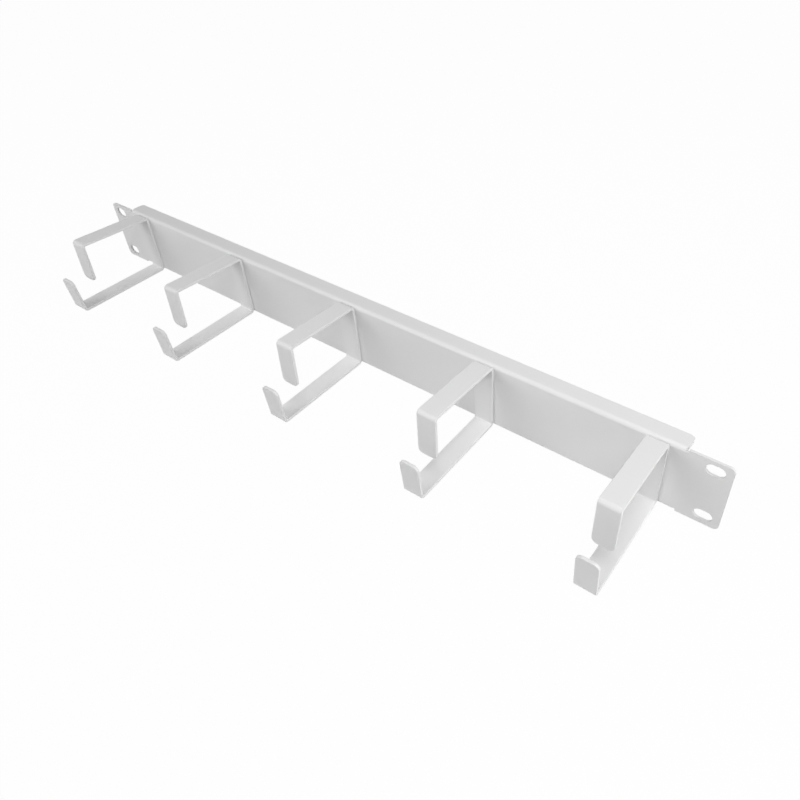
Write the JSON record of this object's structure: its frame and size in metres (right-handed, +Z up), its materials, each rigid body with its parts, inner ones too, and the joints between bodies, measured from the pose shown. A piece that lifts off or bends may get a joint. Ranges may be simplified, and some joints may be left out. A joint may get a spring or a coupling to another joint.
{
  "type": "horizontal cable manager",
  "caption": "Rack-width folded steel panel with open strip rings along its front that hold patch cables; slotted ears for rack screws.",
  "frame": {"origin": "centre of the rack slot pattern, on the rear face of the ears", "axes": "+X along the rack's width, -Y out of the rack's front where the rings point, +Z up"},
  "size_m": [0.4826, 0.0788, 0.0464],
  "materials": {
    "powder_coat": "satin powder coat"
  },
  "bodies": {
    "root": {"rack_panel": "powder_coat", "cable_ring_1": "powder_coat", "cable_ring_2": "powder_coat", "cable_ring_3": "powder_coat", "cable_ring_4": "powder_coat", "cable_ring_5": "powder_coat"}
  },
  "joints": []
}
